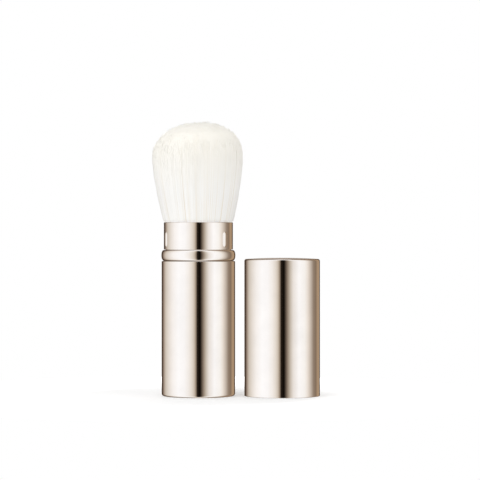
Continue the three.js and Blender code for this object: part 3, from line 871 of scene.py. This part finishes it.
class MAKEUPBRUSH_OT_sleeve(bpy.types.Operator):
    """Make the sliding sleeve: its thin tube, and the collar with three pressed nubs"""

    bl_idname = "makeup_brush.sleeve"
    bl_label = "Sleeve and collar"

    def execute(self, context):
        sizes, colours = settings(context)
        bore = COLLAR_RADIUS - sizes.collar_wall
        rim = sizes.collar_wall / 2 - GUARD
        reach = sizes.nub_length / 2 + NUB_ROW * 2
        middle = COLLAR_FOOT + sizes.nub_rise
        rows = np.arange(middle - reach, middle + reach, NUB_ROW)
        profile = rounded_profile(
            (bore, COLLAR_FOOT, SMALL_FILLET),
            (COLLAR_RADIUS, COLLAR_FOOT, COLLAR_FOOT_FILLET),
            *((COLLAR_RADIUS, row, 0) for row in rows),
            (COLLAR_RADIUS, COLLAR_RIM, rim),
            (bore, COLLAR_RIM, rim),
        )
        material = champagne_metal(colours)
        shape = {"columns": NUB_COLUMNS, "relief": nub_relief(sizes)}
        turned_piece("collar", profile, material, "sleeve", "champagne_metal", "collar_shell", **shape)
        tube_bore = SLEEVE_RADIUS - sizes.sleeve_wall
        profile = rounded_profile(
            (tube_bore, SLEEVE_FOOT, TUBE_FILLET),
            (SLEEVE_RADIUS, SLEEVE_FOOT, TUBE_FILLET),
            (SLEEVE_RADIUS, SLEEVE_TOP, TUBE_FILLET),
            (tube_bore, SLEEVE_TOP, TUBE_FILLET),
        )
        material = metal("satin_plating", colours.sleeve, *SATIN_TUBE)
        turned_piece("sleeve", profile, material, "sleeve", "sleeve_metal", "sleeve_tube")
        return {"FINISHED"}


class MAKEUPBRUSH_OT_cap(bpy.types.Operator):
    """Draw the cap, whose closed top falls from its middle as a parabola, and its plastic liner"""

    bl_idname = "makeup_brush.cap"
    bl_label = "Cap and liner"

    def execute(self, context):
        sizes, colours = settings(context)
        bore = CAP_RADIUS - sizes.sheet_wall
        rim = sizes.sheet_wall / 2 - GUARD
        across = np.linspace(0, 1, CROWN_ROWS)[1:]
        fall = sizes.cap_crown * across**2
        inner = [(bore * part, CAP_TOP - sizes.sheet_wall - drop, 0) for part, drop in zip(across, fall)]
        outer = [(CAP_RADIUS * part, CAP_TOP - drop, 0) for part, drop in zip(across, fall)]
        inner[-1] = (*inner[-1][:2], sizes.cap_edge - sizes.sheet_wall)
        outer[-1] = (*outer[-1][:2], sizes.cap_edge)
        profile = rounded_profile(
            (0, CAP_TOP - sizes.sheet_wall, 0),
            *inner,
            (bore, CAP_MOUTH, rim),
            (CAP_RADIUS, CAP_MOUTH, rim),
            *reversed(outer),
            (0, CAP_TOP, 0),
        )
        material = capped_plating(colours, CAP_TOP - sizes.cap_crown)
        turned_piece("cap", profile, material, "cap", "champagne_metal", "cap_shell", axis=CAP_AXIS)
        liner_bore = LINER_RADIUS - sizes.liner_wall
        liner_top = LINER_TOP - sizes.liner_play
        liner_roof = liner_top - sizes.liner_roof
        edge = sizes.cap_edge - sizes.sheet_wall
        profile = rounded_profile(
            (0, liner_roof, 0),
            (liner_bore, liner_roof, edge),
            (liner_bore, LINER_MOUTH, LINER_FILLET),
            (LINER_RADIUS, LINER_MOUTH, LINER_FILLET),
            (LINER_RADIUS, liner_top, edge),
            (0, liner_top, 0),
        )
        material = moulded("liner_plastic", colours.grey_plastic, *LINER_PLASTIC)
        turned_piece("cap_lining", profile, material, "cap", "liner_plastic", "cap_liner", axis=CAP_AXIS)
        return {"FINISHED"}


def cast_resin(colours):
    """The resin under the hair: a disc whose top dips from its edge to the middle as a parabola."""
    radius = FERRULE_RADIUS - RESIN_INSET
    across = np.linspace(1, 0, RESIN_ROWS)
    top = HAIR_FOOT + RESIN_DEPTH - RESIN_DIP * (1 - across**2)
    surface = np.stack([radius * across, top], axis=-1)
    profile = np.concatenate([[(0, HAIR_FOOT), (radius, HAIR_FOOT)], surface])
    mesh = turned_mesh("resin_plug", profile)
    material = moulded("cast_resin", colours.resin, *CAST_RESIN)
    nodes = ["bristles_" + quarter for quarter in QUARTERS]
    new_piece("resin_plug", mesh, material, "handle", nodes)


class MAKEUPBRUSH_OT_hair(bpy.types.Operator):
    """Grow the domed head of hair, in tufts that stand side by side round the axis"""

    bl_idname = "makeup_brush.hair"
    bl_label = "Hair"

    def execute(self, context):
        sizes, colours = settings(context)
        rng = np.random.default_rng(SEED)
        near, angle, values, tone = strewn_strands(sizes, rng)
        material = hair_material(colours)
        tufts = len(QUARTERS) * TUFTS_PER_QUARTER
        tuft_of = (angle / (2 * math.pi) * tufts).astype(int)
        outside = near > OUTER_SHARE
        for tuft in range(tufts):
            groups = []
            for kind, path in ((outside, OUTER_PATH), (~outside, INNER_PATH)):
                chosen = (tuft_of == tuft) & kind
                picked = {key: value[chosen] for key, value in values.items()}
                paths, facing = strand_paths(near[chosen], angle[chosen], *path, picked, sizes)
                groups.append((paths, facing, angle[chosen], tone[chosen]))
            name = f"hair_tuft_{tuft + 1:02d}"
            edges = np.array([tuft, tuft + 1]) / tufts * 2 * math.pi
            mesh = tuft_mesh(name, groups, tuft_core(*edges, sizes), sizes, rng)
            quarter = "bristles_" + QUARTERS[tuft // TUFTS_PER_QUARTER]
            piece = new_piece(name, mesh, material, "handle", [quarter])
            facing = (tuft + 0.5) / tufts * 2 * math.pi
            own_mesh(piece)
        cast_resin(colours)
        return {"FINISHED"}


class MAKEUPBRUSH_OT_inner_parts(bpy.types.Operator):
    """Give the parts inside the barrel their finishes"""

    bl_idname = "makeup_brush.inner_parts"
    bl_label = "Inner parts"

    def execute(self, context):
        _, colours = settings(context)
        steel = metal("turned_steel", colours.steel, *TURNED_STEEL)
        aluminium = metal("bare_aluminium", colours.aluminium, *BARE_ALUMINIUM)
        white = moulded("white_plastic", colours.white_plastic, *WHITE_PLASTIC)
        grey = moulded("grey_plastic", colours.grey_plastic, *GREY_PLASTIC)
        rubber = moulded("soft_rubber", colours.rubber, *SOFT_RUBBER)
        finishes = {
            "base_weight": steel,
            "post_screw": steel,
            "ferrule": aluminium,
            "core_post": white,
            "guide_bush": white,
            "slider_ring": white,
            "barrel_liner": grey,
            "drag_ring": rubber,
        }
        for node, material in finishes.items():
            for slot in frame["nodes"][node].material_slots:
                slot.material = material
        return {"FINISHED"}


# The tent that the metal reflects: its glow by the angle from the front to the right, in degrees
TENT_RADIUS = 1.1
TENT_FOOT = -4.0
TENT_HEIGHT = 4.0
TENT_STRENGTH = 1.5
TENT_BANDS = (
    (-180, (0.62, 0.54, 0.48)),
    (-172, (0.2, 0.15, 0.11)),
    (-158, (0.03, 0.012, 0.002)),
    (-148, (0.12, 0.09, 0.07)),
    (-136, (0.4, 0.33, 0.28)),
    (-122, (0.72, 0.69, 0.64)),
    (-104, (0.92, 0.92, 0.92)),
    (-85, (1.09, 1.13, 1.19)),
    (-64, (1.16, 1.24, 1.35)),
    (-44, (1.13, 1.2, 1.3)),
    (-30, (1.05, 1.08, 1.12)),
    (-19, (0.9, 0.89, 0.87)),
    (-12, (0.7, 0.66, 0.6)),
    (-7, (0.38, 0.32, 0.26)),
    (-3, (0.02, 0.014, 0.01)),
    (7, (0.004, 0.003, 0.002)),
    (12, (0.12, 0.095, 0.075)),
    (18, (0.36, 0.31, 0.26)),
    (25, (0.65, 0.62, 0.57)),
    (34, (0.94, 0.95, 0.97)),
    (52, (1.13, 1.2, 1.3)),
    (72, (1.07, 1.12, 1.17)),
    (82, (0.96, 0.95, 0.94)),
    (91, (0.75, 0.71, 0.67)),
    (108, (0.34, 0.28, 0.23)),
    (121, (0.26, 0.2, 0.15)),
    (136, (0.46, 0.34, 0.23)),
    (146, (0.5, 0.36, 0.24)),
    (156, (0.05, 0.022, 0.004)),
    (172, (0.2, 0.15, 0.11)),
    (180, (0.62, 0.54, 0.48)),
)
TENT_ROOF = (1.2, 1.26, 1.35)

# Lamps: name, degrees from the front to the right, degrees up, power and width
LAMPS = (
    ("key_lamp", -47, 27, 3.8, 0.7),
    ("fill_lamp", 60, 20, 2.5, 0.7),
    ("top_lamp", 0, 84, 1.8, 0.9),
    ("back_lamp", 170, 35, 2.2, 0.8),
)
LAMP_DISTANCE = 1.0
AMBIENT_STRENGTH = 0.7

# Floor and camera
FLOOR_RADIUS = 0.12
FLOOR_GAP = 0.05 * MM
FLOOR_GLOW_REACH = (0.045, 0.115)
FLOOR_GLOW = (0.24, 1)
CAMERA_PLACE = (0.01585, -0.85, 0.0593)
CAMERA_LENS = 167.3
CAMERA_NEAR = 0.05


def seen_directly(tree):
    """1 for a ray from the camera, metal or glass, and 0 for any other."""
    path = new_node(tree, "LightPath", {})
    mirrored = calculated(tree, "MAXIMUM", path["Is Camera Ray"], path["Is Glossy Ray"])
    return calculated(tree, "MAXIMUM", mirrored, path["Is Transmission Ray"])


def glowing_material(name):
    """A material that only glows, its node tree and its emission."""
    material, tree, _ = new_material(name)
    tree.nodes.clear()
    emission = tree.nodes.new("ShaderNodeEmission")
    set_inputs(tree, emission, {"Strength": TENT_STRENGTH})
    new_node(tree, "OutputMaterial", {"Surface": emission.outputs["Emission"]})
    return material, tree, emission


def sheet(name, points, faces, material):
    """A flat or rolled sheet of the stage."""
    mesh = bpy.data.meshes.new(name)
    mesh.from_pydata(points, [], faces)
    mesh.materials.append(material)
    return linked(name, mesh)


def lay_floor(colour):
    """A round floor, which the camera sees grow brighter with the distance, up to white."""
    material, tree, shader = new_material("studio_floor")
    distance = new_node(tree, "VectorMath", {0: own_place(tree)}, operation="LENGTH")["Value"]
    glow = mapped(tree, distance, FLOOR_GLOW_REACH, FLOOR_GLOW)
    strength = calculated(tree, "MULTIPLY", glow, seen_directly(tree))
    set_inputs(tree, shader, {"Base Color": (*colour, 1), "Roughness": 0.9, "Specular IOR Level": 0.1})
    set_inputs(tree, shader, {"Emission Color": (1, 1, 1, 1), "Emission Strength": strength})
    rim = np.array([(FLOOR_RADIUS, -FLOOR_GAP)])
    points = carried_round(rim, ROUND_COLUMNS)[0]
    floor = sheet("floor", points, [list(range(ROUND_COLUMNS))], material)
    floor.visible_glossy = False


def hang_tent():
    """The white cloth tent round the set, with dark gaps, which only reflections see.

    Its glow depends on the angle round the set alone.
    """
    material, tree, emission = glowing_material("light_tent")
    x, y, _ = axes(tree, own_place(tree))
    angle = calculated(tree, "ARCTAN2", x, calculated(tree, "MULTIPLY", y, -1))
    turn = mapped(tree, angle, (-math.pi, math.pi), (0, 1))
    stops = [(azimuth / 360 + 0.5, shaded(glow, 1 / TENT_STRENGTH)) for azimuth, glow in TENT_BANDS]
    set_inputs(tree, emission, {"Color": colour_band(tree, turn, stops)})
    profile = np.array([(TENT_RADIUS, TENT_FOOT), (TENT_RADIUS, TENT_HEIGHT)])
    points = carried_round(profile, ROUND_COLUMNS).reshape(-1, 3)
    corner = np.arange(len(points)).reshape(2, ROUND_COLUMNS)
    beside = np.roll(corner, -1, axis=1)
    faces = np.stack([corner[0], corner[1], beside[1], beside[0]], axis=-1).tolist()
    tent = sheet("tent", points, faces, material)
    material, tree, emission = glowing_material("tent_roof")
    set_inputs(tree, emission, {"Color": (*shaded(TENT_ROOF, 1 / TENT_STRENGTH), 1)})
    rim = list(range(ROUND_COLUMNS))
    roof = sheet("tent_roof", points[ROUND_COLUMNS:], [rim[::-1]], material)
    for cloth in (tent, roof):
        cloth.visible_camera = False
        cloth.visible_diffuse = False
        cloth.visible_transmission = False
        cloth.visible_shadow = False


def light_world(scene):
    """White where the camera or a reflection sees it, and a softer light for everything else."""
    world = bpy.data.worlds.new("studio")
    world.use_nodes = True
    tree = world.node_tree
    level = mapped(tree, seen_directly(tree), (0, 1), (AMBIENT_STRENGTH, 1))
    set_inputs(tree, tree.nodes["Background"], {"Color": (1, 1, 1, 1), "Strength": level})
    scene.world = world


def hang_lamp(name, azimuth, elevation, power, size):
    """A square soft lamp that faces the set from an azimuth, counted from the front to the right."""
    data = bpy.data.lights.new(name, "AREA")
    data.energy = power
    data.size = size
    lamp = linked(name, data)
    lamp.location = (
        LAMP_DISTANCE * math.sin(azimuth) * math.cos(elevation),
        -LAMP_DISTANCE * math.cos(azimuth) * math.cos(elevation),
        LAMP_DISTANCE * math.sin(elevation) + BARREL_MOUTH,
    )
    lamp.rotation_euler = (math.pi / 2 - elevation, 0, azimuth)
    lamp.visible_glossy = False


class MAKEUPBRUSH_OT_stage(bpy.types.Operator):
    """Set the floor, the light tent, the lamps and the camera"""

    bl_idname = "makeup_brush.stage"
    bl_label = "Stage"

    def execute(self, context):
        _, colours = settings(context)
        for piece in context.scene.objects:
            piece.visible_glossy = False
        lay_floor(tuple(colours.floor))
        hang_tent()
        light_world(context.scene)
        for name, azimuth, elevation, power, size in LAMPS:
            hang_lamp(name, math.radians(azimuth), math.radians(elevation), power, size)
        data = bpy.data.cameras.new("camera")
        data.lens = CAMERA_LENS
        data.clip_start = CAMERA_NEAR
        camera = linked("camera", data)
        camera.location = CAMERA_PLACE
        camera.rotation_euler = (math.pi / 2, 0, 0)
        context.scene.camera = camera
        context.scene.view_settings.view_transform = "Standard"
        return {"FINISHED"}


class MAKEUPBRUSH_PT_panel(bpy.types.Panel):
    """Sizes, colours and the steps that build the brush"""

    bl_label = "Makeup Brush"
    bl_idname = "MAKEUPBRUSH_PT_panel"
    bl_space_type = "VIEW_3D"
    bl_region_type = "UI"
    bl_category = "Makeup Brush"

    def draw(self, context):
        for title, group in zip(("Sizes", "Colours"), settings(context)):
            box = self.layout.box()
            box.label(text=title)
            for key in group.__annotations__:
                box.prop(group, key)
        for operator in OPERATORS:
            self.layout.operator(operator.bl_idname)


OPERATORS = (
    MAKEUPBRUSH_OT_barrel,
    MAKEUPBRUSH_OT_bead,
    MAKEUPBRUSH_OT_sleeve,
    MAKEUPBRUSH_OT_cap,
    MAKEUPBRUSH_OT_hair,
    MAKEUPBRUSH_OT_inner_parts,
    MAKEUPBRUSH_OT_stage,
)
CLASSES = (BrushSizes, BrushColours, *OPERATORS, MAKEUPBRUSH_PT_panel)


def register():
    for each in CLASSES:
        bpy.utils.register_class(each)
    bpy.types.Scene.makeup_brush_sizes = bpy.props.PointerProperty(type=BrushSizes)
    bpy.types.Scene.makeup_brush_colours = bpy.props.PointerProperty(type=BrushColours)


def unregister():
    del bpy.types.Scene.makeup_brush_colours
    del bpy.types.Scene.makeup_brush_sizes
    for each in reversed(CLASSES):
        bpy.utils.unregister_class(each)


def main():
    """Builds the whole brush and its stage."""
    register()
    for operator in OPERATORS:
        group, action = operator.bl_idname.split(".")
        getattr(getattr(bpy.ops, group), action)()


if __name__ == "__main__":
    main()
